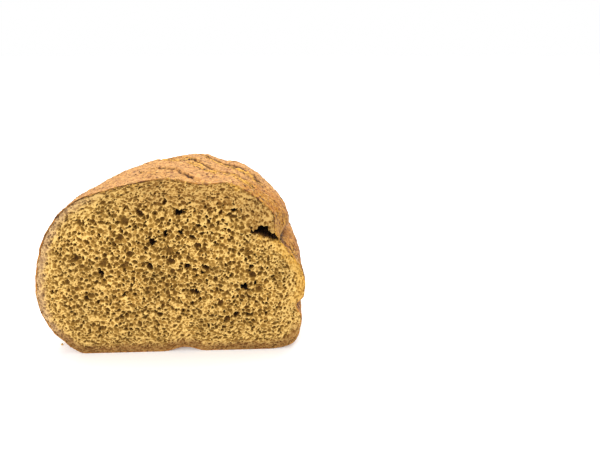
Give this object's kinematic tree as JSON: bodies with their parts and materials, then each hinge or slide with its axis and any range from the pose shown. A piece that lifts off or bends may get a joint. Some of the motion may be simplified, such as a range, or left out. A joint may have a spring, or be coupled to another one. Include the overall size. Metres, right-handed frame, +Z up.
{
  "type": "whole wheat hearth loaf half",
  "caption": "Half of an oval wholemeal hearth loaf, cut across: open crumb on the flat cut face, slashed crust on top, round end behind.",
  "frame": {"origin": "on the surface the half loaf rests on, under the middle of its box", "axes": "+X across the loaf, +Y along it from the cut face to the round end, +Z up"},
  "size_m": [0.137, 0.151, 0.0983],
  "materials": {
    "bread_crust": "matt baked crust, speckled with bran",
    "bread_crumb": "matt open crumb on the cut face",
    "bran": "matt coarse bran flakes"
  },
  "bodies": {
    "root": {"half_loaf": "bread_crust"}
  },
  "joints": []
}
